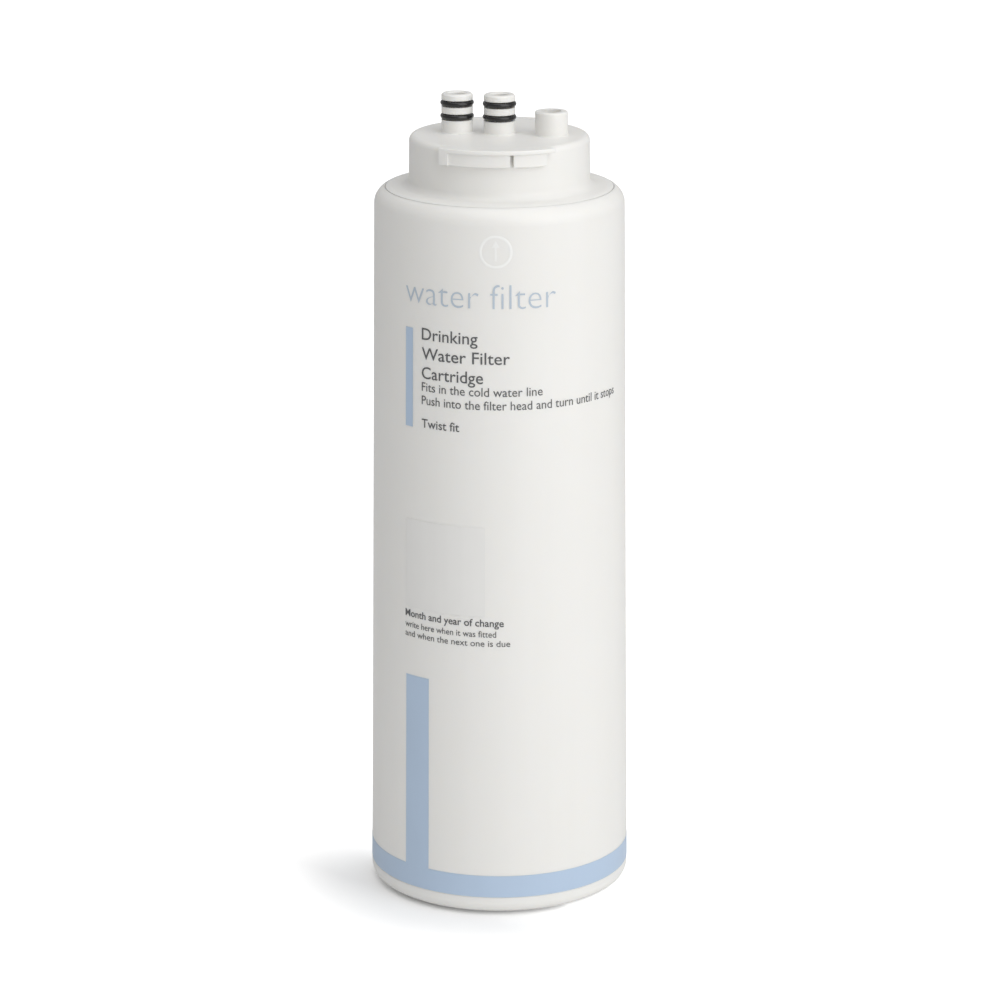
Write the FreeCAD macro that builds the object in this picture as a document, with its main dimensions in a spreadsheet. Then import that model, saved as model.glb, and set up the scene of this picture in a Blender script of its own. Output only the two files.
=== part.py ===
"""Quick-change carbon-block water filter cartridge, as a parametric FreeCAD document.

Lengths are in millimetres and angles in degrees. Z is up, with z = 0 where the feet stand, and the
cartridge's axis is the Z axis. The printed front faces -Y, so an angle round the cartridge is counted
from -Y towards +X.
"""
import FreeCAD, Part
import math
import os
import Sketcher

DIMENSIONS = {
    # Whole cartridge
    "overall_height": 272.5,
    "base_radius": 44.2,
    "seam_height": 6.6,
    "shoulder_radius": 41.55,
    "shoulder_height": 242.4,
    "shoulder_round": 5.9,
    # Housing shell
    "shell_wall": 3.0,
    "shoulder_wall": 4.0,
    "shoulder_inner_round": 4.0,
    "shoulder_edge_height": 240.24,
    "shoulder_rim_height": 241.86,
    "shoulder_rim_radius": 38.05,
    "weld_ledge_radius": 38.0,
    "weld_height": 241.1,
    "collar_bore": 27.5,
    "collar_wall": 2.8,
    "collar_bottom": 229.0,
    "seam_chamfer": 0.12,
    # Port head: neck and top plate
    "neck_top": 259.4,
    "neck_radius": 29.85,
    "neck_foot_radius": 30.1,
    "neck_edge_round": 2.0,
    "foot_ring_radius": 37.8,
    "foot_ring_height": 1.3,
    "foot_ring_edge": 0.86,
    "foot_crown_radius": 36.72,
    "foot_crown_round": 5.5,
    "foot_ring_round": 2.7,
    "head_wall": 3.2,
    "skirt_gap": 0.1,
    "skirt_wall": 2.4,
    "plate_thickness": 4.0,
    "inner_step": 2.0,
    "socket_wall": 2.6,
    "socket_bottom": 238.0,
    "socket_top": 252.4,
    "socket_radius": 6.4,
    "socket_lead": 0.8,
    # Port head: bayonet lugs
    "lug_radius": 32.6,
    "lug_web_radius": 32.0,
    "lug_root_radius": 29.0,
    "lug_bottom": 253.8,
    "lug_flange": 1.4,
    "lug_start": -37.6,
    "lug_block_end": -31.2,
    "lug_slot_start": 6.2,
    "lug_slot_end": 8.2,
    "lug_web_end": 29.0,
    "lug_end": 34.0,
    "lug_edge_round": 0.4,
    # Port head: stems and their O-rings
    "stem_radius": 5.2,
    "stem_root_round": 0.6,
    "stem_chamfer": 0.5,
    "waterway_radius": 2.9,
    "waterway_chamfer": 0.5,
    "inlet_across": -14.0,
    "inlet_back": 2.5,
    "lower_ring_height": 264.9,
    "ring_pitch": 4.4,
    "ring_groove_radius": 3.8,
    "ring_groove_width": 2.2,
    "ring_section": 0.89,
    # Port head: key post
    "post_across": 17.1,
    "post_back": -3.0,
    "post_height": 8.0,
    "post_radius": 5.45,
    "post_bore": 3.3,
    "post_depth": 7.0,
    "post_edge_round": 0.5,
    "post_web": 1.2,
    "post_web_drop": 2.0,
    # Bottom cap
    "foot_height": 0.8,
    "foot_radius": 2.2,
    "foot_circle": 36.0,
    "foot_angle": 31.0,
    "foot_sink": 0.6,
    "cap_edge_round": 3.6,
    "cap_recess": 1.0,
    "cap_ring_inner": 33.5,
    "cap_floor_top": 4.2,
    "cap_plug_gap": 0.2,
    "cap_plug_wall": 2.6,
    "cap_plug_top": 13.6,
    "cup_radius": 13.0,
    "cup_bore": 11.3,
    "cup_top": 12.4,
    "cup_ledge": 10.4,
    "cup_ledge_bore": 8.5,
    "cap_rib_top": 9.0,
    "cap_rib_thickness": 1.8,
    # Filter element
    "element_bottom": 16.4,
    "lower_floor": 2.8,
    "lower_rim_top": 29.0,
    "end_cap_radius": 36.2,
    "end_cap_bore": 34.9,
    "lower_boss_radius": 6.5,
    "lower_boss_top": 26.0,
    "fin_reach": 40.6,
    "fin_thickness": 1.6,
    "bond_thickness": 0.8,
    "block_top": 223.2,
    "block_radius": 33.0,
    "block_bore": 9.0,
    "wrap_radius": 33.9,
    "netting_radius": 34.6,
    "net_window_height": 12.0,
    "net_window_width": 5.6,
    "net_row_pitch": 16.0,
    "core_wrap_bore": 8.5,
    "core_bore": 7.0,
    "slot_height": 8.0,
    "slot_width": 2.4,
    "slot_pitch": 12.0,
    "upper_floor": 2.8,
    "upper_rim_bottom": 214.0,
    "spigot_radius": 6.25,
    "spigot_bore": 3.4,
    "spigot_top": 250.0,
    "spigot_chamfer": 0.6,
    "spigot_lower_ring": 242.6,
    "spigot_ring_pitch": 4.2,
    "spigot_groove_radius": 4.75,
    "spigot_groove_width": 2.1,
    "spigot_ring_section": 0.8,
    "pad_radius": 11.0,
    "pad_bore": 3.0,
    # Write-on label
    "label_bottom": 105.5,
    "label_top": 136.0,
    "label_start": -46.0,
    "label_end": -6.4,
    "label_thickness": 0.12,
}
LUG_COUNT = 2
FOOT_COUNT = 3
RIB_COUNT = 6
FIN_COUNT = 6
NET_COLUMNS = 24
NET_ROWS = 11
SLOT_COLUMNS = 6
SLOT_ROWS = 15
FULL_TURN = 360.0
FRONT_TO_X = 90.0  # the angle from the front, -Y, round to +X


class Size:
    """A length or an angle: its value, and the expression that binds a feature to the sheet."""

    def __init__(self, value, text):
        self.value = value
        self.text = text

    def __add__(self, other):
        return Size(self.value + other.value, f"({self.text} + {other.text})")

    def __sub__(self, other):
        return Size(self.value - other.value, f"({self.text} - {other.text})")

    def __mul__(self, other):
        return Size(self.value * other.value, f"({self.text} * {other.text})")

    def __truediv__(self, other):
        return Size(self.value / other.value, f"({self.text} / {other.text})")


def number(value):
    """A plain number as a size."""
    return Size(value, f"({value})")


doc = FreeCAD.newDocument("cartridge")
size = {name: Size(value, f"sizes.{name}") for name, value in DIMENSIONS.items()}
ON_AXIS = None  # a sketch coordinate that lies on the sketch's own axis
TINY = number(0.05)


def make_sheet():
    """Write the driving dimensions into the document's sheet, one aliased cell each."""
    sheet = doc.addObject("Spreadsheet::Sheet", "sizes")
    for row, (name, value) in enumerate(DIMENSIONS.items(), start=1):
        sheet.set(f"A{row}", name)
        sheet.set(f"B{row}", str(value))
        sheet.setAlias(f"B{row}", name)
    doc.recompute()


# ---------------------------------------------------------------- sketches and features

def new_body(label):
    body = doc.addObject("PartDesign::Body", label)
    body.Label = label
    body.Placement = FreeCAD.Placement()
    return body


def origin_plane(body, role):
    return next(item for item in body.Origin.OriginFeatures if item.Role == role)


def new_sketch(body, name, role="XZ_Plane", across=None, back=None, turn=0.0):
    """A sketch on one of the body's own planes.

    On XZ_Plane its across runs along +X and its up along +Z. across and back move it along +X and
    +Y, and turn swings it round its own up axis, which is Z.
    """
    sketch = body.newObject("Sketcher::SketchObject", name)
    sketch.AttachmentSupport = (origin_plane(body, role), "")
    sketch.MapMode = "FlatFace"
    swing = FreeCAD.Rotation(FreeCAD.Vector(0, 1, 0), turn)
    sketch.AttachmentOffset = FreeCAD.Placement(FreeCAD.Vector(), swing)
    if across:
        sketch.setExpression("AttachmentOffset.Base.x", across.text)
    if back:
        sketch.setExpression("AttachmentOffset.Base.z", f"-{back.text}")
    return sketch


def hold(sketch, geometry, point, kind, coordinate, name):
    """Hold one coordinate of a sketch point: on the sketch's axis, or at a distance from it."""
    if coordinate is ON_AXIS:
        axis = -2 if kind == "DistanceX" else -1
        sketch.addConstraint(Sketcher.Constraint("PointOnObject", geometry, point, axis))
        return
    index = sketch.addConstraint(
        Sketcher.Constraint(kind, -1, 1, geometry, point, coordinate.value))
    sketch.renameConstraint(index, name)
    sketch.setExpression(f"Constraints.{name}", coordinate.text)


def draw_outline(sketch, corners):
    """Draw a closed outline of straight lines whose corners are (across, up) pairs of sizes."""
    points = [FreeCAD.Vector(0 if x is ON_AXIS else x.value, 0 if y is ON_AXIS else y.value, 0)
              for x, y in corners]
    lines = [Part.LineSegment(start, end) for start, end in zip(points, points[1:] + points[:1])]
    for line in lines:
        sketch.addGeometry(line, False)
    for index, (across, up) in enumerate(corners):
        following = (index + 1) % len(corners)
        sketch.addConstraint(Sketcher.Constraint("Coincident", index, 2, following, 1))
        hold(sketch, index, 1, "DistanceX", across, f"across_{index}")
        hold(sketch, index, 1, "DistanceY", up, f"up_{index}")
    return sketch


def box_corners(inner, outer, bottom, top):
    """The corners of an upright rectangle from inner to outer and from bottom to top."""
    return [(inner, bottom), (outer, bottom), (outer, top), (inner, top)]


def draw_circle(sketch, radius, across, up):
    """Draw a circle whose radius and centre are sizes."""
    centre = FreeCAD.Vector(across.value, up.value, 0)
    circle = sketch.addGeometry(Part.Circle(centre, FreeCAD.Vector(0, 0, 1), radius.value), False)
    index = sketch.addConstraint(Sketcher.Constraint("Radius", circle, radius.value))
    sketch.renameConstraint(index, "radius")
    sketch.setExpression("Constraints.radius", radius.text)
    hold(sketch, circle, 3, "DistanceX", across, "centre_across")
    hold(sketch, circle, 3, "DistanceY", up, "centre_up")
    return sketch


def turn_feature(body, name, kind, sketch, angle=None):
    """Turn a sketch about its own up axis, adding with Revolution or cutting with Groove."""
    feature = body.newObject(f"PartDesign::{kind}", name)
    feature.Profile = sketch
    feature.ReferenceAxis = (sketch, ["V_Axis"])
    feature.Angle = FULL_TURN
    if angle:
        feature.setExpression("Angle", angle.text)
    doc.recompute()
    return feature


def turned(body, name, corners, kind="Revolution", **place):
    """Turn an outline a full circle about the body's axis, or about a parallel one."""
    sketch = draw_outline(new_sketch(body, f"{name}_sketch", **place), corners)
    return turn_feature(body, name, kind, sketch)


def sector(body, name, corners, start, end, kind="Revolution"):
    """Turn an outline about the body's axis from one angle to another, counted from the front."""
    sketch = new_sketch(body, f"{name}_sketch", turn=start.value - FRONT_TO_X)
    draw_outline(sketch, corners)
    return turn_feature(body, name, kind, sketch, end - start)


def polar(body, name, features, count):
    """Repeat features evenly round the body's axis."""
    pattern = body.newObject("PartDesign::PolarPattern", name)
    pattern.Originals = features
    pattern.Axis = (next(f for f in body.Origin.OriginFeatures if f.Role == "Z_Axis"), [""])
    pattern.Angle = FULL_TURN
    pattern.Occurrences = count
    body.Tip = pattern
    doc.recompute()
    return pattern


def plane_pad(body, name, sketch, thickness, kind="Pad"):
    """Pad or pocket a sketch by half the thickness to each side of its plane."""
    feature = body.newObject(f"PartDesign::{kind}", name)
    feature.Profile = sketch
    feature.Midplane = True
    feature.setExpression("Length", thickness.text)
    doc.recompute()
    return feature


def rings_at(shape, places):
    """Names of the circular edges that have one of the given (radius, height, centre) places."""
    names = []
    for index, edge in enumerate(shape.Edges, start=1):
        curve = edge.Curve
        if not isinstance(curve, Part.Circle):
            continue
        for radius, height, centre in places:
            target = FreeCAD.Vector(centre[0], centre[1], height.value)
            if abs(curve.Radius - radius.value) < 0.01 and (curve.Center - target).Length < 0.01:
                names.append(f"Edge{index}")
    return names


def dress(body, name, kind, base, amount, places):
    """Round or chamfer the circular edges of a feature at the given places."""
    names = rings_at(base.Shape, places)
    if not names:
        raise RuntimeError(f"{name}: no edge found")
    feature = body.newObject(f"PartDesign::{kind}", name)
    feature.Base = (base, names)
    feature.setExpression("Radius" if kind == "Fillet" else "Size", amount.text)
    doc.recompute()
    return feature


AXIS = (0.0, 0.0)
INLET = (DIMENSIONS["inlet_across"], DIMENSIONS["inlet_back"])
POST = (DIMENSIONS["post_across"], DIMENSIONS["post_back"])


# ---------------------------------------------------------------- housing

def shell_radius(height):
    """The drafted outer radius of the housing shell at a height."""
    rise = size["shoulder_height"] - size["seam_height"]
    taper = (size["base_radius"] - size["shoulder_radius"]) / rise
    return size["base_radius"] - (height - size["seam_height"]) * taper


def housing_shell():
    """Drafted tube with a rounded shoulder, a ledge for the port head's foot and a collar.

    The foot carries the shoulder's curve on inwards from the rim, past a narrow weld groove.
    """
    body = new_body("housing_shell")
    seam = size["seam_height"]
    edge = size["shoulder_edge_height"]
    under = size["shoulder_height"] - size["shoulder_wall"]
    collar_outer = size["collar_bore"] + size["collar_wall"]
    shell = turned(body, "shell", [
        (shell_radius(seam), seam),
        (shell_radius(edge), edge),
        (size["shoulder_rim_radius"], size["shoulder_rim_height"]),
        (size["weld_ledge_radius"], size["weld_height"]),
        (size["collar_bore"], size["weld_height"]),
        (size["collar_bore"], size["collar_bottom"]),
        (collar_outer, size["collar_bottom"]),
        (collar_outer, under),
        (shell_radius(under) - size["shell_wall"], under),
        (shell_radius(seam) - size["shell_wall"], seam),
    ])
    inner_corner = shell_radius(under) - size["shell_wall"]
    rounded = dress(body, "shoulder", "Fillet", shell, size["shoulder_round"],
                    [(shell_radius(edge), edge, AXIS)])
    rounded = dress(body, "inner_shoulder", "Fillet", rounded, size["shoulder_inner_round"],
                    [(inner_corner, under, AXIS)])
    dress(body, "seam_edge", "Chamfer", rounded, size["seam_chamfer"],
          [(size["base_radius"], seam, AXIS)])
    return body


def bottom_cap():
    """Welded closure: rounded standing edge, three feet, plug ring, ribs and a cup for the pad."""
    body = new_body("bottom_cap")
    seam = size["seam_height"]
    base = size["foot_height"]
    recess = base + size["cap_recess"]
    floor = size["cap_floor_top"]
    plug_outer = shell_radius(seam) - size["shell_wall"] - size["cap_plug_gap"]
    plug_inner = plug_outer - size["cap_plug_wall"]
    cap = turned(body, "cap", [
        (ON_AXIS, recess),
        (size["cap_ring_inner"] - size["cap_recess"], recess),
        (size["cap_ring_inner"], base),
        (size["base_radius"], base),
        (size["base_radius"], seam),
        (plug_outer, seam),
        (plug_outer, size["cap_plug_top"]),
        (plug_inner, size["cap_plug_top"]),
        (plug_inner, floor),
        (size["cup_radius"], floor),
        (size["cup_radius"], size["cup_top"]),
        (size["cup_bore"], size["cup_top"]),
        (size["cup_bore"], size["cup_ledge"]),
        (size["cup_ledge_bore"], size["cup_ledge"]),
        (size["cup_ledge_bore"], floor),
        (ON_AXIS, floor),
    ])
    rounded = dress(body, "standing_edge", "Fillet", cap, size["cap_edge_round"],
                    [(size["base_radius"], base, AXIS)])
    dress(body, "seam_edge", "Chamfer", rounded, size["seam_chamfer"],
          [(size["base_radius"], seam, AXIS)])
    rib_sketch = draw_outline(new_sketch(body, "rib_sketch"), box_corners(
        size["cup_radius"] - size["foot_sink"], plug_outer - size["foot_sink"],
        floor - size["foot_sink"], size["cap_rib_top"]))
    rib = plane_pad(body, "rib", rib_sketch, size["cap_rib_thickness"])
    polar(body, "ribs", [rib], RIB_COUNT)
    angle = math.radians(DIMENSIONS["foot_angle"] - FRONT_TO_X)
    foot_sketch = draw_circle(
        new_sketch(body, "foot_sketch", role="XY_Plane"), size["foot_radius"],
        size["foot_circle"] * number(math.cos(angle)), size["foot_circle"] * number(math.sin(angle)))
    foot = body.newObject("PartDesign::Pad", "foot")
    foot.Profile = foot_sketch
    foot.setExpression("Length", (base + size["foot_sink"]).text)
    doc.recompute()
    polar(body, "feet", [foot], FOOT_COUNT)
    return body


# ---------------------------------------------------------------- port head

def head_bowl(body):
    """The neck with its top plate, weld foot, skirt and the central socket under the plate."""
    top = size["neck_top"]
    under = top - size["plate_thickness"]
    weld = size["weld_height"]
    foot_top = weld + size["foot_ring_height"]
    neck_inner = size["neck_radius"] - size["head_wall"]
    skirt_outer = size["collar_bore"] - size["skirt_gap"]
    skirt_inner = skirt_outer - size["skirt_wall"]
    socket_outer = size["socket_radius"] + size["socket_wall"]
    lead = size["socket_lead"]
    bowl = turned(body, "bowl", [
        (ON_AXIS, top),
        (size["neck_radius"], top),
        (size["neck_foot_radius"], foot_top),
        (size["foot_crown_radius"], foot_top),
        (size["foot_ring_radius"], weld + size["foot_ring_edge"]),
        (size["foot_ring_radius"], weld),
        (skirt_outer, weld),
        (skirt_outer, size["collar_bottom"]),
        (skirt_inner, size["collar_bottom"]),
        (skirt_inner, foot_top),
        (neck_inner, foot_top + size["inner_step"]),
        (neck_inner, under),
        (socket_outer, under),
        (socket_outer, size["socket_bottom"]),
        (size["socket_radius"] + lead, size["socket_bottom"]),
        (size["socket_radius"], size["socket_bottom"] + lead),
        (size["socket_radius"], size["socket_top"]),
        (ON_AXIS, size["socket_top"]),
    ])
    rounded = dress(body, "neck_edge", "Fillet", bowl, size["neck_edge_round"],
                    [(size["neck_radius"], top, AXIS)])
    rounded = dress(body, "foot_crown", "Fillet", rounded, size["foot_crown_round"],
                    [(size["foot_crown_radius"], foot_top, AXIS)])
    return dress(body, "weld_foot", "Fillet", rounded, size["foot_ring_round"],
                 [(size["neck_foot_radius"], foot_top, AXIS)])


def bayonet_lugs(body):
    """Two opposite bayonet lugs: a flange over a slotted web that starts at a full-depth block."""
    root = size["lug_root_radius"]
    bottom = size["lug_bottom"]
    top = size["neck_top"] - TINY
    ledge = size["neck_top"] - size["lug_flange"]
    flange = sector(body, "lug_flange", box_corners(root, size["lug_radius"], ledge, top),
                    size["lug_start"], size["lug_end"])
    block = sector(body, "lug_block",
                   box_corners(root, size["lug_radius"], bottom, ledge + TINY),
                   size["lug_start"], size["lug_block_end"])
    web_corners = box_corners(root, size["lug_web_radius"], bottom, ledge + TINY)
    left_web = sector(body, "lug_left_web", web_corners, size["lug_block_end"] - TINY,
                      size["lug_slot_start"])
    right_web = sector(body, "lug_right_web", web_corners, size["lug_slot_end"],
                       size["lug_web_end"])
    lugs = polar(body, "lugs", [flange, block, left_web, right_web], LUG_COUNT)
    return dress(body, "lug_edges", "Fillet", lugs, size["lug_edge_round"],
                 [(size["lug_radius"], top, AXIS)])


def port_stem(body, name, across, back, bore_bottom):
    """A port stem with a chamfered nose, two O-ring grooves and a waterway down its middle."""
    place = {"across": across, "back": back}
    centre = (across.value, back.value) if across else AXIS
    plate = size["neck_top"]
    tip = size["overall_height"]
    stem = turned(body, name, [
        (ON_AXIS, plate - TINY),
        (size["stem_radius"], plate - TINY),
        (size["stem_radius"], tip - size["stem_chamfer"]),
        (size["stem_radius"] - size["stem_chamfer"], tip),
        (ON_AXIS, tip),
    ], **place)
    dress(body, f"{name}_root", "Fillet", stem, size["stem_root_round"],
          [(size["stem_radius"], plate, centre)])
    half_width = size["ring_groove_width"] / number(2)
    for level, height in (("lower", size["lower_ring_height"]),
                          ("upper", size["lower_ring_height"] + size["ring_pitch"])):
        turned(body, f"{name}_{level}_groove",
               box_corners(size["ring_groove_radius"], size["stem_radius"] + size["stem_chamfer"],
                           height - half_width, height + half_width), kind="Groove", **place)
    turned(body, f"{name}_waterway", [
        (ON_AXIS, bore_bottom),
        (size["waterway_radius"], bore_bottom),
        (size["waterway_radius"], tip - size["waterway_chamfer"]),
        (size["waterway_radius"] + size["waterway_chamfer"], tip),
        (size["waterway_radius"] + size["waterway_chamfer"], tip + size["waterway_chamfer"]),
        (ON_AXIS, tip + size["waterway_chamfer"]),
    ], kind="Groove", **place)


def key_post(body):
    """The short hollow post that keys the cartridge in its head, with a web across its bore."""
    place = {"across": size["post_across"], "back": size["post_back"]}
    plate = size["neck_top"]
    tip = plate + size["post_height"]
    floor = tip - size["post_depth"]
    post = turned(body, "post", [
        (ON_AXIS, plate - TINY),
        (size["post_radius"], plate - TINY),
        (size["post_radius"], tip),
        (ON_AXIS, tip),
    ], **place)
    rounded = dress(body, "post_edge", "Fillet", post, size["post_edge_round"],
                    [(size["post_radius"], tip, POST)])
    dress(body, "post_root", "Fillet", rounded, size["stem_root_round"],
          [(size["post_radius"], plate, POST)])
    turned(body, "post_bore", [
        (ON_AXIS, floor),
        (size["post_bore"], floor),
        (size["post_bore"], tip + TINY),
        (ON_AXIS, tip + TINY),
    ], kind="Groove", **place)
    web_sketch = draw_outline(
        new_sketch(body, "post_web_sketch", **place),
        box_corners(number(0) - size["post_bore"] - TINY, size["post_bore"] + TINY,
                    floor - TINY, tip - size["post_web_drop"]))
    plane_pad(body, "post_web", web_sketch, size["post_web"])


def port_head():
    """Neck, top plate, bayonet lugs, two port stems and the key post, moulded in one."""
    body = new_body("port_head")
    head_bowl(body)
    bayonet_lugs(body)
    under = size["neck_top"] - size["plate_thickness"]
    port_stem(body, "inlet_stem", size["inlet_across"], size["inlet_back"], under - TINY)
    port_stem(body, "outlet_stem", None, None, size["socket_top"] - TINY)
    key_post(body)
    return body


# ---------------------------------------------------------------- seals and label

def ring(label, centre, height, groove, section):
    """An O-ring lying in its groove, with its axis upright."""
    torus = doc.addObject("Part::Torus", label)
    torus.Label = label
    torus.setExpression("Radius1", (groove + section).text)
    torus.setExpression("Radius2", section.text)
    torus.Placement = FreeCAD.Placement()
    torus.setExpression("Placement.Base.x", centre[0].text)
    torus.setExpression("Placement.Base.y", centre[1].text)
    torus.setExpression("Placement.Base.z", height.text)
    doc.recompute()
    return torus


def port_rings():
    """The two O-rings of each port stem."""
    places = {"inlet": (size["inlet_across"], size["inlet_back"]),
              "outlet": (number(0), number(0))}
    heights = {"lower": size["lower_ring_height"],
               "upper": size["lower_ring_height"] + size["ring_pitch"]}
    return [ring(f"{port}_oring_{level}", centre, height,
                 size["ring_groove_radius"], size["ring_section"])
            for port, centre in places.items() for level, height in heights.items()]


def spigot_rings():
    """The two O-rings that seal the element's spigot, drawn at their squeezed section."""
    heights = {"lower": size["spigot_lower_ring"],
               "upper": size["spigot_lower_ring"] + size["spigot_ring_pitch"]}
    gap = size["socket_radius"] - size["spigot_groove_radius"]
    slack = gap / number(2) - size["spigot_ring_section"]
    return [ring(f"spigot_oring_{level}", (number(0), number(0)), height,
                 size["spigot_groove_radius"] + slack, size["spigot_ring_section"])
            for level, height in heights.items()]


def date_patch():
    """Thin write-on label wrapped on the drafted front of the shell."""
    body = new_body("date_patch")
    low = size["label_bottom"]
    high = size["label_top"]
    skin = size["label_thickness"]
    sector(body, "label", [
        (shell_radius(low), low),
        (shell_radius(low) + skin, low),
        (shell_radius(high) + skin, high),
        (shell_radius(high), high),
    ], size["label_start"], size["label_end"])
    return body


# ---------------------------------------------------------------- filter element

def sleeve(label, inner, outer, bottom, top):
    """A plain sleeve about the cartridge's axis."""
    body = new_body(label)
    turned(body, "sleeve", box_corners(inner, outer, bottom, top))
    return body


def window_rows(body, name, reach, width, height, first, pitch, columns, rows):
    """Cut rows of rectangular windows through a sleeve, evenly round it and up it."""
    cuts = []
    for row in range(rows):
        low = first + pitch * number(row)
        corners = box_corners(number(0) - width / number(2), width / number(2), low, low + height)
        sketch = draw_outline(new_sketch(body, f"{name}_{row}_sketch"), corners)
        cut = body.newObject("PartDesign::Pocket", f"{name}_{row}")
        cut.Profile = sketch
        cut.setExpression("Length", reach.text)
        doc.recompute()
        cuts.append(cut)
    polar(body, f"{name}_pattern", cuts, columns)


def carbon_core():
    """The block, its wraps and its slotted core tube, all between the two bond rings."""
    bottom = size["element_bottom"] + size["lower_floor"] + size["bond_thickness"]
    top = size["block_top"]
    block = sleeve("carbon_block", size["block_bore"], size["block_radius"], bottom, top)
    wrap = sleeve("prefilter_wrap", size["block_radius"], size["wrap_radius"], bottom, top)
    core_wrap = sleeve("core_wrap", size["core_wrap_bore"], size["block_bore"], bottom, top)
    netting = sleeve("outer_netting", size["wrap_radius"], size["netting_radius"], bottom, top)
    window_rows(netting, "mesh", size["netting_radius"] + size["bond_thickness"],
                size["net_window_width"], size["net_window_height"],
                bottom + size["net_window_height"], size["net_row_pitch"],
                NET_COLUMNS, NET_ROWS)
    tube = sleeve("core_tube", size["core_bore"], size["core_wrap_bore"], bottom, top)
    window_rows(tube, "slot", size["core_wrap_bore"] + size["bond_thickness"],
                size["slot_width"], size["slot_height"], bottom + size["slot_pitch"],
                size["slot_pitch"], SLOT_COLUMNS, SLOT_ROWS)
    return [block, wrap, netting, core_wrap, tube]


def bond_rings():
    """The adhesive discs that join the block to its end caps."""
    low = size["element_bottom"] + size["lower_floor"]
    lower = sleeve("lower_bond_ring", size["block_bore"], size["netting_radius"],
                   low, low + size["bond_thickness"])
    upper = sleeve("upper_bond_ring", size["block_bore"], size["netting_radius"],
                   size["block_top"], size["block_top"] + size["bond_thickness"])
    return [lower, upper]


def lower_end_cap():
    """Blind end cap with a boss that plugs the core tube and fins that centre it in the shell."""
    body = new_body("lower_end_cap")
    bottom = size["element_bottom"]
    floor = bottom + size["lower_floor"]
    turned(body, "dish", [
        (ON_AXIS, bottom),
        (size["end_cap_radius"], bottom),
        (size["end_cap_radius"], size["lower_rim_top"]),
        (size["end_cap_bore"], size["lower_rim_top"]),
        (size["end_cap_bore"], floor),
        (size["lower_boss_radius"], floor),
        (size["lower_boss_radius"], size["lower_boss_top"]),
        (ON_AXIS, size["lower_boss_top"]),
    ])
    fin_sketch = draw_outline(new_sketch(body, "fin_sketch"), box_corners(
        size["end_cap_radius"] - TINY, size["fin_reach"], bottom, size["lower_rim_top"]))
    fin = plane_pad(body, "fin", fin_sketch, size["fin_thickness"])
    polar(body, "fins", [fin], FIN_COUNT)
    return body


def upper_end_cap():
    """End cap that carries the outlet spigot up into the port head's socket."""
    body = new_body("upper_end_cap")
    floor = size["block_top"] + size["bond_thickness"]
    roof = floor + size["upper_floor"]
    tip = size["spigot_top"]
    chamfer = size["spigot_chamfer"]
    turned(body, "dish", [
        (size["spigot_bore"], floor),
        (size["end_cap_bore"], floor),
        (size["end_cap_bore"], size["upper_rim_bottom"]),
        (size["end_cap_radius"], size["upper_rim_bottom"]),
        (size["end_cap_radius"], roof),
        (size["spigot_radius"], roof),
        (size["spigot_radius"], tip - chamfer),
        (size["spigot_radius"] - chamfer, tip),
        (size["spigot_bore"], tip),
    ])
    half_width = size["spigot_groove_width"] / number(2)
    for level, height in (("lower", size["spigot_lower_ring"]),
                          ("upper", size["spigot_lower_ring"] + size["spigot_ring_pitch"])):
        turned(body, f"spigot_{level}_groove",
               box_corners(size["spigot_groove_radius"], size["spigot_radius"] + chamfer,
                           height - half_width, height + half_width), kind="Groove")
    return body


def support_pad():
    """Elastomer pad between the bottom cap's cup and the lower end cap."""
    return sleeve("support_pad", size["pad_bore"], size["pad_radius"], size["cup_ledge"],
                  size["element_bottom"])


# ---------------------------------------------------------------- whole cartridge

def check_document():
    """Stop if any object of the document failed."""
    for item in doc.Objects:
        if "Invalid" in item.State or "Error" in item.State:
            raise RuntimeError(f"{item.Name}: {item.State}")


def check_part(part):
    """Stop unless a sub-part is one closed, valid solid."""
    shape = part.Shape
    if shape.isNull() or not shape.isValid() or len(shape.Solids) != 1:
        raise RuntimeError(f"{part.Label}: not one valid solid")


def main():
    make_sheet()
    parts = [housing_shell(), port_head(), bottom_cap(), date_patch()]
    parts += port_rings() + spigot_rings()
    parts += carbon_core() + bond_rings()
    parts += [lower_end_cap(), upper_end_cap(), support_pad()]
    doc.recompute()
    check_document()
    for part in parts:
        check_part(part)
    os.makedirs("parts", exist_ok=True)
    for part in parts:
        part.Shape.exportStep(f"parts/{part.Label}.step")
        box = part.Shape.BoundBox
        print(f"{part.Label}: {part.Shape.Volume:.0f} mm3, z {box.ZMin:.2f} to {box.ZMax:.2f}")


main()
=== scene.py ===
"""Finishes, printing and stage for a quick-change water filter cartridge, laid out as an add-on.

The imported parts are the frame: their shapes stay as they are and get their finishes here. The ink,
the raised mould mark and the stage are made here too. Lengths are in metres, with the cartridge's
axis on Z and its printed front facing -Y. Angles round the cartridge are counted from -Y towards +X.
"""

import math

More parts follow.
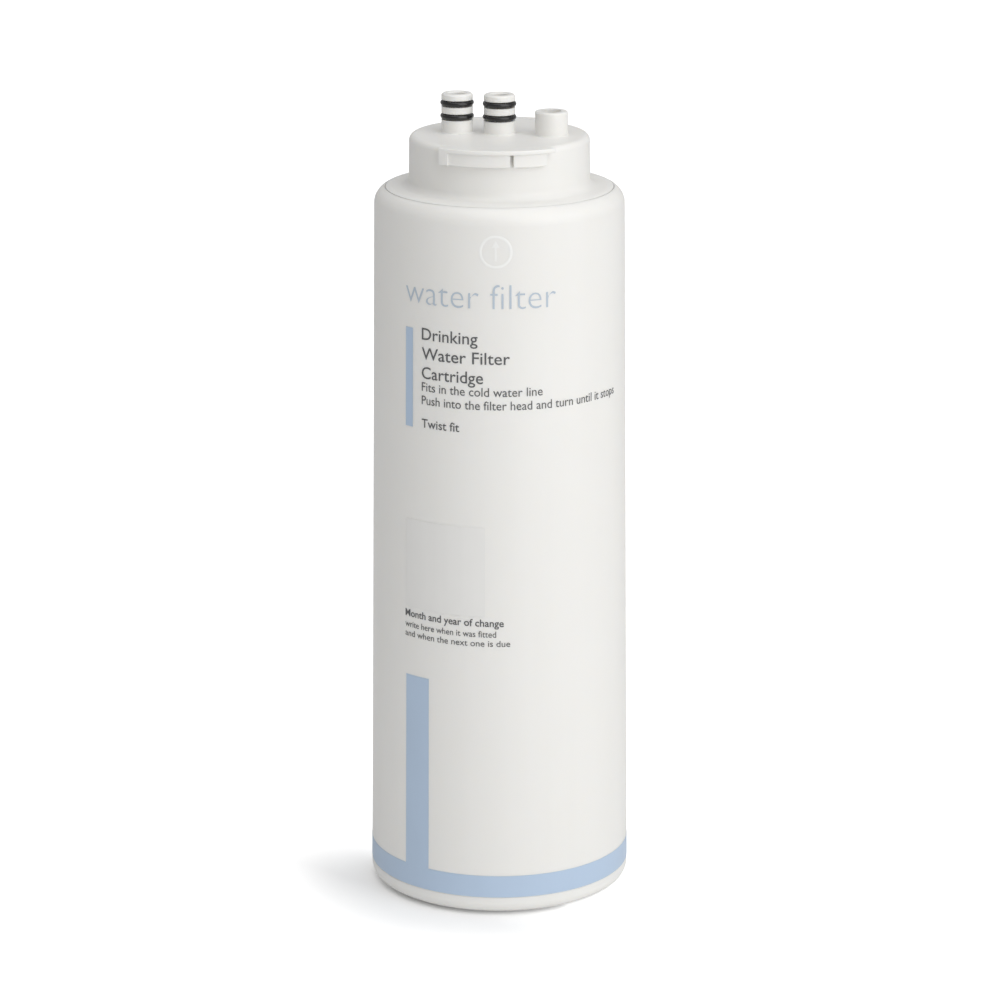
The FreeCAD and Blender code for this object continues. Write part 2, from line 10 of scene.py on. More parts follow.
import bpy
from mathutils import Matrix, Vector


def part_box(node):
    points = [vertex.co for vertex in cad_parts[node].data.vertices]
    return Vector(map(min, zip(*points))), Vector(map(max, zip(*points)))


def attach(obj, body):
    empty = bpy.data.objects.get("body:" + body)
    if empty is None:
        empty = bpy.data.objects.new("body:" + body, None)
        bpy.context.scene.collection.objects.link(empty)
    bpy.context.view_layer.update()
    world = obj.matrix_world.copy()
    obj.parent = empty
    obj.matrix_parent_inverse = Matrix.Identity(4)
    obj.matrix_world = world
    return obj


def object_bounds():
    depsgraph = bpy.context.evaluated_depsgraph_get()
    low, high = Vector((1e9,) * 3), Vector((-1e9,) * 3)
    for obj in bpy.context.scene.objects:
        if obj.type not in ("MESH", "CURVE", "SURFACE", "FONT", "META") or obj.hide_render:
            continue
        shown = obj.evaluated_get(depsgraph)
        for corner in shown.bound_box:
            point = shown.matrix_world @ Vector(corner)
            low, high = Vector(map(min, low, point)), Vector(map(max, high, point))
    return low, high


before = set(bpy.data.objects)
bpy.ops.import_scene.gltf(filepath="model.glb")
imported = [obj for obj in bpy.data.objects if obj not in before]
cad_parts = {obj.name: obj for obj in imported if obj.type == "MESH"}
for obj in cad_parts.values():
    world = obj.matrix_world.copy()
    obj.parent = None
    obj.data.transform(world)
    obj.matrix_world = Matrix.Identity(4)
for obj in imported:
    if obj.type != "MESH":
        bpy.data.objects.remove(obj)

bl_info = {
    "name": "Water filter cartridge looks",
    "version": (1, 0, 0),
    "blender": (4, 5, 0),
    "location": "3D View > Sidebar > Cartridge",
    "description": "Finishes, printing and stage for a quick-change water filter cartridge",
    "category": "Object",
}

MM = 0.001
CAD_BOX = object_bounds()
SHELL_LOW, SHELL_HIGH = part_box("housing_shell")
OVERALL_HEIGHT = CAD_BOX[1].z
BODY = "root"
CAPITAL_SHARE = 0.682  # height of the font's capitals as a share of its size
LETTER_STRIP = 1.0 * MM  # width of the strips that letters are cut into to follow the wall
MARK_STRIP = 0.5 * MM  # the same for the accent bar and the mould mark
MERGE_REACH = 0.002 * MM  # points closer than this are merged
SMOOTH_ANGLE = math.radians(40)  # faces that meet at less than this are shaded smooth
NOISE_RANGE = (0.3, 0.7)  # nearly all values of a noise texture lie between these
FULL_RANGE = (0.0, 1.0)
WHITE = (1.0, 1.0, 1.0, 1.0)
INK_ROUGHNESS = 0.38

WHITE_PARTS = ("housing_shell", "port_head", "bottom_cap")
SEAL_PARTS = ("inlet_oring_lower", "inlet_oring_upper", "outlet_oring_lower",
              "outlet_oring_upper", "spigot_oring_lower", "spigot_oring_upper")
NATURAL_PARTS = ("upper_end_cap", "lower_end_cap", "core_tube")
FELT_PARTS = ("prefilter_wrap", "core_wrap")
GLUE_PARTS = ("upper_bond_ring", "lower_bond_ring")

# A printed line: its words, then in mm the height of its capitals, the height of its baseline and
# its length, and last how much its strokes are thickened, as a share of the capitals' height.
TITLE_LINES = (
    ("water filter", 8.2, 209.3, 53.0, -0.024),
)
DESCRIPTION_LINES = (
    ("Drinking", 3.9, 197.5, 20.0, 0.004),
    ("Water Filter", 3.9, 191.0, 30.6, 0.004),
    ("Cartridge", 3.9, 184.5, 21.9, 0.004),
    ("Fits in the cold water line", 2.9, 180.3, 41.6, 0.0),
    ("Push into the filter head and turn until it stops", 2.9, 175.8, 74.0, 0.0),
    ("Twist fit", 2.9, 168.0, 14.0, 0.006),
)
DATE_LINES = (
    ("Month and year of change", 2.4, 102.1, 36.5, 0.015),
    ("write here when it was fitted", 2.1, 98.4, 34.0, 0.0),
    ("and when the next one is due", 2.1, 95.2, 38.7, 0.0),
)


# ---------------------------------------------------------------- settings

class CartridgePrintSettings(bpy.types.PropertyGroup):
    """Where the ink lies on the drafted wall, and how thick it is."""
    ink_thickness: bpy.props.FloatProperty(
        name="Ink thickness", description="Thickness of a printed layer",
        default=0.03 * MM, unit="LENGTH")
    ink_lift: bpy.props.FloatProperty(
        name="Ink lift", description="Gap between the wall and the ink's underside",
        default=0.03 * MM, unit="LENGTH")
    band_low: bpy.props.FloatProperty(
        name="Band foot", description="Height of the blue band's lower edge",
        default=SHELL_LOW.z + 0.2 * MM, unit="LENGTH")
    band_high: bpy.props.FloatProperty(
        name="Band top", description="Height of the blue band's upper edge",
        default=SHELL_LOW.z + 7.8 * MM, unit="LENGTH")
    bar_top: bpy.props.FloatProperty(
        name="Bar top", description="Height that the wide blue bar rises to",
        default=0.30 * OVERALL_HEIGHT, unit="LENGTH")
    bar_start: bpy.props.IntProperty(
        name="Bar start", description="Left edge of the wide bar, in degrees", default=-46)
    bar_end: bpy.props.IntProperty(
        name="Bar end", description="Right edge of the wide bar, in degrees", default=-33)
    left_margin: bpy.props.FloatProperty(
        name="Left margin", description="Angle that the title, bars and date lines start at",
        default=math.radians(-46.6), subtype="ANGLE")
    text_margin: bpy.props.FloatProperty(
        name="Text margin", description="Angle that the description starts at",
        default=math.radians(-37.0), subtype="ANGLE")
    accent_low: bpy.props.FloatProperty(
        name="Accent bar foot", description="Height of the narrow bar's lower end",
        default=167.5 * MM, unit="LENGTH")
    accent_high: bpy.props.FloatProperty(
        name="Accent bar top", description="Height of the narrow bar's upper end",
        default=200.8 * MM, unit="LENGTH")
    accent_width: bpy.props.FloatProperty(
        name="Accent bar width", description="Width of the narrow bar",
        default=3.2 * MM, unit="LENGTH")


class CartridgeFinishSettings(bpy.types.PropertyGroup):
    """Colours of the shell, the inks, the label and the seals."""
    shell_colour: bpy.props.FloatVectorProperty(
        name="Shell", description="White moulded polypropylene",
        default=(0.86, 0.853, 0.83), subtype="COLOR", size=3, min=0.0, max=1.0)
    blue_colour: bpy.props.FloatVectorProperty(
        name="Blue ink", description="Light blue of the band and bars",
        default=(0.475, 0.595, 0.755), subtype="COLOR", size=3, min=0.0, max=1.0)
    title_colour: bpy.props.FloatVectorProperty(
        name="Title ink", description="Pale grey-blue of the title",
        default=(0.50, 0.575, 0.66), subtype="COLOR", size=3, min=0.0, max=1.0)
    grey_colour: bpy.props.FloatVectorProperty(
        name="Grey ink", description="Dark grey of the words",
        default=(0.105, 0.108, 0.112), subtype="COLOR", size=3, min=0.0, max=1.0)
    label_colour: bpy.props.FloatVectorProperty(
        name="Label", description="Matt write-on film",
        default=(0.828, 0.822, 0.802), subtype="COLOR", size=3, min=0.0, max=1.0)
    rubber_colour: bpy.props.FloatVectorProperty(
        name="Seals", description="Black nitrile rubber",
        default=(0.005, 0.005, 0.0055), subtype="COLOR", size=3, min=0.0, max=1.0)


class CartridgeStageSettings(bpy.types.PropertyGroup):
    """Camera, lights and floor."""
    distance: bpy.props.FloatProperty(
        name="Camera distance", description="Distance from the camera to the cartridge's middle",
        default=1.3, unit="LENGTH")
    pitch: bpy.props.FloatProperty(
        name="Camera pitch", description="Angle that the camera looks down at",
        default=math.radians(15.8), subtype="ANGLE")
    lens: bpy.props.FloatProperty(
        name="Lens", description="Focal length, in millimetres", default=138.0)
    surround: bpy.props.FloatProperty(
        name="Surround", description="Strength of the white surround's light", default=0.417)
    floor_glow: bpy.props.FloatProperty(
        name="Floor glow", description="How far the floor is lifted to white", default=0.42)
    far_glow: bpy.props.FloatProperty(
        name="Far glow", description="Extra lift of the floor far from the cartridge", default=0.35)
    # painted light: glow that hides the key light's shadow on the floor behind and to the right
    open_glow: bpy.props.FloatProperty(
        name="Open glow", description="Extra lift of the floor behind and to the right", default=0.22)
    # the contact shade is a painted shadow, made by dimming the floor's glow near the base
    contact_reach: bpy.props.FloatProperty(
        name="Contact reach", description="How far the shade round the base spreads",
        default=33 * MM, unit="LENGTH")
    contact_depth: bpy.props.FloatProperty(
        name="Contact depth", description="How dark the shade at the base's front left is",
        default=6.0)
    key_power: bpy.props.FloatProperty(
        name="Key power", description="Power of the large soft light on the right", default=20.0)
    top_power: bpy.props.FloatProperty(
        name="Top power", description="Power of the soft light overhead", default=15.0)
    strip_power: bpy.props.FloatProperty(
        name="Strip power", description="Power of the tall side light", default=0.5)


def settings():
    """The scene's print, finish and stage settings."""
    scene = bpy.context.scene
    return scene.cartridge_print, scene.cartridge_finish, scene.cartridge_stage


# ---------------------------------------------------------------- the drafted wall

def measure_wall():
    """Return the drafted wall's foot radius, foot height and taper, read from the shell's points.

    The wall is the outermost straight line up from the shell's widest ring, so its taper is the
    least that any point in the upper half has.
    """
    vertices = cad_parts["housing_shell"].data.vertices
    points = [(math.hypot(v.co.x, v.co.y), v.co.z) for v in vertices]
    foot_radius, foot_height = max(points)
    middle = (SHELL_LOW.z + SHELL_HIGH.z) / 2
    taper = min((foot_radius - radius) / (height - foot_height)
                for radius, height in points if height > middle)
    return foot_radius, foot_height, taper


FOOT_RADIUS, FOOT_HEIGHT, TAPER = measure_wall()


def wall_radius(height):
    """The drafted wall's radius at a height."""
    return FOOT_RADIUS - (height - FOOT_HEIGHT) * TAPER


def on_wall(angle, height, lift):
    """The point at an angle and height on the drafted wall, raised from it by lift."""
    radius = wall_radius(height) + lift
    return Vector((radius * math.sin(angle), -radius * math.cos(angle), height))


def wrap_on_wall(piece, angle, height):
    """Lay a flat piece on the wall: its X runs round it, its Y up it and its Z out of it."""
    radius = wall_radius(height)
    for vertex in piece.data.vertices:
        x, y, z = vertex.co
        vertex.co = on_wall(angle + x / radius, height + y, z)
    piece.data.update()


# ---------------------------------------------------------------- mesh helpers

def deselect():
    """Leave edit mode and select nothing."""
    if bpy.context.object and bpy.context.object.mode != "OBJECT":
        bpy.ops.object.mode_set(mode="OBJECT")
    bpy.ops.object.select_all(action="DESELECT")


def make_active(piece):
    """Select one piece and make it the active one."""
    deselect()
    piece.select_set(True)
    bpy.context.view_layer.objects.active = piece


def apply_place(piece):
    """Put an object's place, turn and scale into its mesh."""
    make_active(piece)
    bpy.ops.object.transform_apply(location=True, rotation=True, scale=True)


def join(pieces, name):
    """Join pieces into one object with a new name."""
    deselect()
    for piece in pieces:
        piece.select_set(True)
    bpy.context.view_layer.objects.active = pieces[0]
    if len(pieces) > 1:
        bpy.ops.object.join()
    joined = bpy.context.object
    joined.name = name
    joined.data.name = name
    return joined


def reach_along_x(piece):
    """The lowest and the highest X of a piece's points."""
    places = [vertex.co.x for vertex in piece.data.vertices]
    return min(places), max(places)


def slice_upright(piece, spacing):
    """Cut a flat piece into narrow upright strips, so that it can follow a curved wall."""
    make_active(piece)
    left, right = reach_along_x(piece)
    cuts = int((right - left) / spacing)
    bpy.ops.object.mode_set(mode="EDIT")
    for cut in range(1, cuts + 1):
        bpy.ops.mesh.select_all(action="SELECT")
        bpy.ops.mesh.bisect(plane_co=(left + cut * spacing, 0, 0), plane_no=(1, 0, 0))
    bpy.ops.object.mode_set(mode="OBJECT")


def clean(piece):
    """Merge doubled points and turn the faces outwards."""
    make_active(piece)
    bpy.ops.object.mode_set(mode="EDIT")
    bpy.ops.mesh.select_all(action="SELECT")
    bpy.ops.mesh.remove_doubles(threshold=MERGE_REACH)
    bpy.ops.mesh.normals_make_consistent(inside=False)
    bpy.ops.object.mode_set(mode="OBJECT")


def finish_piece(piece, material):
    """Give a finished piece its material and its body."""
    piece.data.materials.clear()
    piece.data.materials.append(material)
    make_active(piece)
    bpy.ops.object.shade_smooth_by_angle(angle=SMOOTH_ANGLE)
    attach(piece, BODY)


def dress_nodes(names, material):
    """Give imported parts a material."""
    for name in names:
        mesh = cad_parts[name].data
        mesh.materials.clear()
        mesh.materials.append(material)


# ---------------------------------------------------------------- shader groups

def new_group(name, inputs, outputs):
    """A shader node group with named (name, kind, default) inputs and (name, kind) outputs."""
    group = bpy.data.node_groups.new(name, "ShaderNodeTree")
    for label, kind, default in inputs:
        socket = group.interface.new_socket(name=label, in_out="INPUT", socket_type=kind)
        socket.default_value = default
    for label, kind in outputs:
        group.interface.new_socket(name=label, in_out="OUTPUT", socket_type=kind)
    return group, Nodes(group)


class Nodes:
    """Adds and links the nodes of one tree."""

    def __init__(self, tree):
        self.tree = tree

    def add(self, kind, **values):
        """Add a node. A value named after a socket fills or links it, and any other is a setting."""
        node = self.tree.nodes.new(f"ShaderNode{kind}" if not kind.startswith("NodeGroup") else kind)
        for name, value in values.items():
            if hasattr(node, name) and name not in node.inputs:
                setattr(node, name, value)
        for name, value in values.items():
            if name in node.inputs:
                self.feed(node.inputs[name], value)
        return node

    def feed(self, socket, value):
        """Link a socket to another one, or set its value."""
        if isinstance(value, bpy.types.NodeSocket):
            self.tree.links.new(value, socket)
        else:
            socket.default_value = value

    def math(self, operation, first, second):
        node = self.tree.nodes.new("ShaderNodeMath")
        node.operation = operation
        self.feed(node.inputs[0], first)
        self.feed(node.inputs[1], second)
        return node.outputs[0]

    def mix(self, factor, first, second, share=None):
        """Mix two colours by a factor, or by a share of it."""
        if share is not None:
            factor = self.math("MULTIPLY", factor, share)
        node = self.tree.nodes.new("ShaderNodeMix")
        node.data_type = "RGBA"
        self.feed(node.inputs["Factor"], factor)
        self.feed(node.inputs["A"], first)
        self.feed(node.inputs["B"], second)
        return node.outputs["Result"]

    def span(self, value, low, high, new_low=0.0, new_high=1.0):
        """Map a value from one range to another and hold it inside the new one."""
        node = self.add("MapRange", Value=value)
        node.inputs["From Min"].default_value = low
        node.inputs["From Max"].default_value = high
        node.inputs["To Min"].default_value = new_low
        node.inputs["To Max"].default_value = new_high
        return node.outputs["Result"]

    def noise(self, vector, scale, detail):
        return self.add("TexNoise", Vector=vector, Scale=scale, Detail=detail).outputs["Fac"]


def rgba(colour, factor=1.0):
    """A colour with its alpha, made lighter or darker by a factor."""
    return (colour[0] * factor, colour[1] * factor, colour[2] * factor, 1.0)


def build_grain_group():
    """Fine surface grain: a value from 0 to 1 and a height for a bump."""
    group, nodes = new_group(
        "Moulded grain",
        [("Grain Scale", "NodeSocketFloat", 2500.0), ("Swell Scale", "NodeSocketFloat", 120.0),
         ("Swell Share", "NodeSocketFloat", 0.5)],
        [("Value", "NodeSocketFloat"), ("Height", "NodeSocketFloat")])
    given = nodes.add("NodeGroupInput")
    place = nodes.add("TexCoord").outputs["Object"]
    fine = nodes.noise(place, given.outputs["Grain Scale"], 2.0)
    swell = nodes.noise(place, given.outputs["Swell Scale"], 1.0)
    swell_part = nodes.math("MULTIPLY", swell, given.outputs["Swell Share"])
    fine_share = nodes.math("SUBTRACT", 1.0, given.outputs["Swell Share"])
    fine_part = nodes.math("MULTIPLY", fine, fine_share)
    out = nodes.add("NodeGroupOutput")
    nodes.feed(out.inputs["Value"], fine)
    nodes.feed(out.inputs["Height"], nodes.math("ADD", swell_part, fine_part))
    return group


def build_tone_group():
    """Slow colour variation: cloudy patches and faint upright flow lines, from 0 to 1."""
    group, nodes = new_group(
        "Moulded tone",
        [("Cloud Scale", "NodeSocketFloat", 14.0), ("Line Scale", "NodeSocketFloat", 160.0),
         ("Line Share", "NodeSocketFloat", 0.3)],
        [("Tone", "NodeSocketFloat")])
    given = nodes.add("NodeGroupInput")
    place = nodes.add("TexCoord").outputs["Object"]
    cloud = nodes.noise(place, given.outputs["Cloud Scale"], 3.0)
    stretch = nodes.add("Mapping", vector_type="POINT", Vector=place, Scale=(1.0, 1.0, 0.03))
    lines = nodes.noise(stretch.outputs["Vector"], given.outputs["Line Scale"], 2.0)
    tone = nodes.tree.nodes.new("ShaderNodeMix")
    nodes.feed(tone.inputs["Factor"], given.outputs["Line Share"])
    nodes.feed(tone.inputs["A"], cloud)
    nodes.feed(tone.inputs["B"], lines)
    out = nodes.add("NodeGroupOutput")
    nodes.feed(out.inputs["Tone"], nodes.span(tone.outputs["Result"], *NOISE_RANGE))
    return group


def build_edge_group():
    """A mask that is 1 on sharp edges, and the softened normal that rounds them."""
    group, nodes = new_group(
        "Soft edges",
        [("Radius", "NodeSocketFloat", 0.4 * MM)],
        [("Edge", "NodeSocketFloat"), ("Normal", "NodeSocketVector")])
    given = nodes.add("NodeGroupInput")
    bevel = nodes.add("Bevel", samples=6, Radius=given.outputs["Radius"])
    flat = nodes.add("NewGeometry").outputs["Normal"]
    agree = nodes.add("VectorMath", operation="DOT_PRODUCT")
    nodes.feed(agree.inputs[0], bevel.outputs["Normal"])
    nodes.feed(agree.inputs[1], flat)
    same, turned = 0.995, 0.75
    out = nodes.add("NodeGroupOutput")
    nodes.feed(out.inputs["Edge"], nodes.span(agree.outputs["Value"], same, turned))
    nodes.feed(out.inputs["Normal"], bevel.outputs["Normal"])
    return group


def build_speck_group():
    """Sparse tiny specks of dust or filler, gathered in patches, from 0 to 1."""
    group, nodes = new_group(
        "Fine specks",
        [("Scale", "NodeSocketFloat", 700.0), ("Amount", "NodeSocketFloat", 0.1)],
        [("Specks", "NodeSocketFloat")])
    given = nodes.add("NodeGroupInput")
    place = nodes.add("TexCoord").outputs["Object"]
    cells = nodes.add("TexVoronoi", Vector=place, Scale=given.outputs["Scale"])
    near = nodes.math("LESS_THAN", cells.outputs["Distance"], given.outputs["Amount"])
    bare, dusty = 0.5, 0.7
    patch = nodes.span(nodes.noise(place, 60.0, 2.0), bare, dusty)
    out = nodes.add("NodeGroupOutput")
    nodes.feed(out.inputs["Specks"], nodes.math("MULTIPLY", near, patch))
    return group


SHARED = {}


def build_shared_groups():
    """Build the groups once, for every finish to place."""
    SHARED["grain"] = build_grain_group()
    SHARED["tone"] = build_tone_group()
    SHARED["edge"] = build_edge_group()
    SHARED["speck"] = build_speck_group()


def shared(nodes, name, **values):
    """Place a shared group in a material with its own values."""
    node = nodes.tree.nodes.new("ShaderNodeGroup")
    node.node_tree = SHARED[name]
    for label, value in values.items():
        nodes.feed(node.inputs[label.replace("_", " ")], value)
    return node.outputs


# ---------------------------------------------------------------- materials

def new_material(name):
    """An empty material: its tree's helper and its Principled shader."""
    material = bpy.data.materials.new(name)
    material.use_nodes = True
    material.node_tree.nodes.clear()
    nodes = Nodes(material.node_tree)
    shader = nodes.add("BsdfPrincipled")
    out = nodes.add("OutputMaterial")
    nodes.feed(out.inputs["Surface"], shader.outputs["BSDF"])
    return material, nodes, shader


def bump(nodes, height, distance, normal=None, strength=1.0):
    """The normal of a surface with bumps up to a distance high, on top of another normal."""
    node = nodes.add("Bump", Height=height, Distance=distance, Strength=strength)
    if normal:
        nodes.feed(node.inputs["Normal"], normal)
    return node.outputs["Normal"]


def moulded_plastic(name, colour, shade, roughness, subsurface, edge_radius=0.35 * MM):
    """Semi-gloss moulded plastic with grain, flow tone, specks, softened edges and a painted highlight
    on sharp edges.
    """
    material, nodes, shader = new_material(name)
    tone = shared(nodes, "tone", Cloud_Scale=16.0, Line_Scale=150.0, Line_Share=0.35)["Tone"]
    grain = shared(nodes, "grain", Grain_Scale=3200.0, Swell_Scale=180.0, Swell_Share=0.6)
    edge = shared(nodes, "edge", Radius=edge_radius)
    specks = shared(nodes, "speck", Scale=900.0, Amount=0.09)["Specks"]
    base = nodes.mix(tone, rgba(colour), rgba(shade), share=0.55)
    # painted highlight: sharp edges made a little lighter
    edge_lit = nodes.mix(edge["Edge"], base, rgba(colour, 1.04), share=0.25)
    dusty = nodes.mix(specks, edge_lit, rgba(shade, 0.75), share=0.05)
    nodes.feed(shader.inputs["Base Color"], dusty)
    smoothest, roughest = roughness - 0.03, roughness + 0.04
    gloss = nodes.span(grain["Value"], *NOISE_RANGE, smoothest, roughest)
    nodes.feed(shader.inputs["Roughness"],
               nodes.math("ADD", gloss, nodes.math("MULTIPLY", tone, 0.03)))
    nodes.feed(shader.inputs["Normal"],
               bump(nodes, grain["Height"], 0.012 * MM, edge["Normal"], strength=0.35))
    shader.inputs["IOR"].default_value = 1.49
    shader.inputs["Subsurface Weight"].default_value = subsurface
    shader.inputs["Subsurface Radius"].default_value = (1.0, 0.9, 0.75)
    shader.inputs["Subsurface Scale"].default_value = 1.6 * MM
    return material


def ink(name, colour):
    """Printed ink: a slightly uneven film with the wall's grain showing through."""
    material, nodes, shader = new_material(name)
    tone = shared(nodes, "tone", Cloud_Scale=60.0, Line_Scale=300.0, Line_Share=0.2)["Tone"]
    grain = shared(nodes, "grain", Grain_Scale=4200.0, Swell_Scale=260.0, Swell_Share=0.4)
    base = nodes.mix(tone, rgba(colour), rgba(colour, 0.93), share=0.35)
    peaks = nodes.span(grain["Value"], 0.62, 0.8, new_low=0.0, new_high=0.25)
    nodes.feed(shader.inputs["Base Color"], nodes.mix(peaks, base, rgba(colour, 1.12)))
    smoothest, roughest = INK_ROUGHNESS - 0.03, INK_ROUGHNESS + 0.05
    nodes.feed(shader.inputs["Roughness"],
               nodes.span(grain["Value"], *NOISE_RANGE, smoothest, roughest))
    nodes.feed(shader.inputs["Normal"], bump(nodes, grain["Height"], 0.01 * MM, strength=0.3))
    return material


def greased_rubber(name, colour):
    """Black seal rubber under a thin film of grease, with moulding grain and dull patches."""
    material, nodes, shader = new_material(name)
    tone = shared(nodes, "tone", Cloud_Scale=220.0, Line_Scale=500.0, Line_Share=0.2)["Tone"]
    grain = shared(nodes, "grain", Grain_Scale=6000.0, Swell_Scale=900.0, Swell_Share=0.4)
    base = nodes.mix(tone, rgba(colour), rgba(colour, 2.2))
    nodes.feed(shader.inputs["Base Color"], base)
    nodes.feed(shader.inputs["Roughness"],
               nodes.span(tone, *FULL_RANGE, new_low=0.2, new_high=0.32))
    nodes.feed(shader.inputs["Coat Weight"],
               nodes.span(tone, 0.2, 0.9, new_low=0.5, new_high=0.2))
    shader.inputs["Coat Roughness"].default_value = 0.12
    shader.inputs["IOR"].default_value = 1.46
    nodes.feed(shader.inputs["Normal"], bump(nodes, grain["Height"], 0.01 * MM, strength=0.4))
    return material


def write_on_film(name, colour):
    """Matt label film: a fine tooth that takes a pen, and faint cloudiness."""
    material, nodes, shader = new_material(name)
    tone = shared(nodes, "tone", Cloud_Scale=90.0, Line_Scale=400.0, Line_Share=0.5)["Tone"]
    grain = shared(nodes, "grain", Grain_Scale=5200.0, Swell_Scale=700.0, Swell_Share=0.2)
    base = nodes.mix(tone, rgba(colour), rgba(colour, 0.96), share=0.5)
    nodes.feed(shader.inputs["Base Color"], base)
    nodes.feed(shader.inputs["Roughness"],
               nodes.span(grain["Value"], *NOISE_RANGE, new_low=0.55, new_high=0.7))
    nodes.feed(shader.inputs["Normal"], bump(nodes, grain["Height"], 0.02 * MM, strength=0.5))
    return material


def pressed_carbon(name):
    """Rough black carbon: sintered granules with tiny bright facets and pores."""
    material, nodes, shader = new_material(name)
    place = nodes.add("TexCoord").outputs["Object"]
    granule_colour, pore_colour = (0.035, 0.035, 0.036), (0.006, 0.006, 0.006)
    facet_colour = (0.12, 0.12, 0.12)
    facet_level = 0.68
    grains = nodes.add("TexVoronoi", Vector=place, Scale=900.0)
    facets = nodes.math("GREATER_THAN", nodes.noise(place, 2600.0, 1.0), facet_level)
    pores = nodes.span(grains.outputs["Distance"], 0.2, 0.7)
    base = nodes.mix(pores, rgba(granule_colour), rgba(pore_colour))
    nodes.feed(shader.inputs["Base Color"],
               nodes.mix(facets, base, rgba(facet_colour), share=0.5))
    nodes.feed(shader.inputs["Roughness"],
               nodes.span(facets, *FULL_RANGE, new_low=0.85, new_high=0.4))
    nodes.feed(shader.inputs["Normal"], bump(nodes, grains.outputs["Distance"], 0.3 * MM))
    return material


def soft_felt(name):
    """Non-woven polypropylene: tangled fibres and a pressed point pattern."""
    material, nodes, shader = new_material(name)
    place = nodes.add("TexCoord").outputs["Object"]
    fibres = nodes.add("TexWave", wave_type="BANDS", Vector=place, Scale=900.0, Distortion=14.0,
                       Detail=3.0).outputs["Fac"]
    points = nodes.add("TexVoronoi", Vector=place, Scale=450.0).outputs["Distance"]
    gap_colour, fibre_colour = (0.72, 0.72, 0.70), (0.88, 0.88, 0.86)
    fibre_rise = 0.6
    base = nodes.mix(fibres, rgba(gap_colour), rgba(fibre_colour))
    nodes.feed(shader.inputs["Base Color"], base)
    nodes.feed(shader.inputs["Roughness"],
               nodes.span(fibres, *FULL_RANGE, new_low=0.8, new_high=0.95))
    height = nodes.math("ADD", nodes.math("MULTIPLY", fibres, fibre_rise), points)
    nodes.feed(shader.inputs["Normal"], bump(nodes, height, 0.15 * MM))
    shader.inputs["Sheen Weight"].default_value = 0.25
    return material


def cloudy_adhesive(name):
    """Hot-melt adhesive: yellowish, cloudy and softly wavy."""
    material, nodes, shader = new_material(name)
    tone = shared(nodes, "tone", Cloud_Scale=120.0, Line_Scale=200.0, Line_Share=0.1)["Tone"]
    grain = shared(nodes, "grain", Grain_Scale=1500.0, Swell_Scale=260.0, Swell_Share=0.9)
    pale_colour, amber_colour = (0.80, 0.74, 0.56), (0.66, 0.58, 0.40)
    nodes.feed(shader.inputs["Base Color"],
               nodes.mix(tone, rgba(pale_colour), rgba(amber_colour)))
    nodes.feed(shader.inputs["Roughness"],
               nodes.span(tone, *FULL_RANGE, new_low=0.25, new_high=0.4))
    nodes.feed(shader.inputs["Normal"], bump(nodes, grain["Height"], 0.2 * MM))
    shader.inputs["Subsurface Weight"].default_value = 0.3
    shader.inputs["Subsurface Scale"].default_value = 2.0 * MM
    return material


def matt_elastomer(name):
    """Dark support pad: matt rubber with a fine bloom."""
    material, nodes, shader = new_material(name)
    tone = shared(nodes, "tone", Cloud_Scale=150.0, Line_Scale=300.0, Line_Share=0.1)["Tone"]
    grain = shared(nodes, "grain", Grain_Scale=2600.0, Swell_Scale=500.0, Swell_Share=0.3)
    dark_colour, bloom_colour = (0.030, 0.031, 0.034), (0.075, 0.076, 0.08)
    nodes.feed(shader.inputs["Base Color"],
               nodes.mix(tone, rgba(dark_colour), rgba(bloom_colour)))
    nodes.feed(shader.inputs["Roughness"],
               nodes.span(grain["Value"], *NOISE_RANGE, new_low=0.6, new_high=0.8))
    nodes.feed(shader.inputs["Normal"], bump(nodes, grain["Height"], 0.05 * MM))
    return material


# ---------------------------------------------------------------- printed words

def lift_film(piece, printed):
    """Raise a film of ink that lies round Z = 0 until its underside clears the wall."""
    for vertex in piece.data.vertices:
        vertex.co.z += printed.ink_thickness / 2 + printed.ink_lift


def add_word(words, size, weight):
    """A line of flat letters with its baseline on the X axis, starting at the origin.

    size is the height of the capitals, and weight is how far the strokes' edges move out, as a
    share of it.
    """
    printed, _, _ = settings()
    deselect()
    bpy.ops.object.text_add(location=(0, 0, 0))
    piece = bpy.context.object
    text = piece.data
    text.body = words
    text.size = size / CAPITAL_SHARE
    text.offset = weight * size
    text.resolution_u = 4
    text.extrude = printed.ink_thickness / 2
    bpy.ops.object.convert(target="MESH")
    piece = bpy.context.object
    lift_film(piece, printed)
    return piece


def fit_width(piece, width):
    """Stretch or squeeze a line of letters a little so that it is as long as it should be."""
    left, right = reach_along_x(piece)
    factor = width / (right - left)
    for vertex in piece.data.vertices:
        vertex.co.x = (vertex.co.x - left) * factor


def print_line(angle, words, size, height, width, weight):
    """Print one line of words on the wall, from an angle at the left, with its measures in mm."""
    piece = add_word(words, size * MM, weight)
    fit_width(piece, width * MM)
    slice_upright(piece, LETTER_STRIP)
    clean(piece)
    wrap_on_wall(piece, angle, height * MM)
    return piece


def print_block(lines, angle, name):
    """Print lines of words as one piece, all starting at the same angle."""
    return join([print_line(angle, *line) for line in lines], name)


# ---------------------------------------------------------------- pieces

class CARTRIDGE_OT_shared_groups(bpy.types.Operator):
    """Build the shader groups that the finishes share"""
    bl_idname = "cartridge.shared_groups"
    bl_label = "Shared shader groups"

    def execute(self, context):
        build_shared_groups()
        return {"FINISHED"}


class CARTRIDGE_OT_white_parts(bpy.types.Operator):
    """Finish the shell, port head and bottom cap in white moulded polypropylene"""
    bl_idname = "cartridge.white_parts"
    bl_label = "White parts"

    def execute(self, context):
        _, finish, _ = settings()
        colour = finish.shell_colour
        warmer = (0.965, 0.96, 0.945)
        shade = tuple(part * factor for part, factor in zip(colour, warmer))
        dress_nodes(WHITE_PARTS, moulded_plastic("white_polypropylene", colour, shade,
                                                 roughness=0.36, subsurface=0.25))
        return {"FINISHED"}


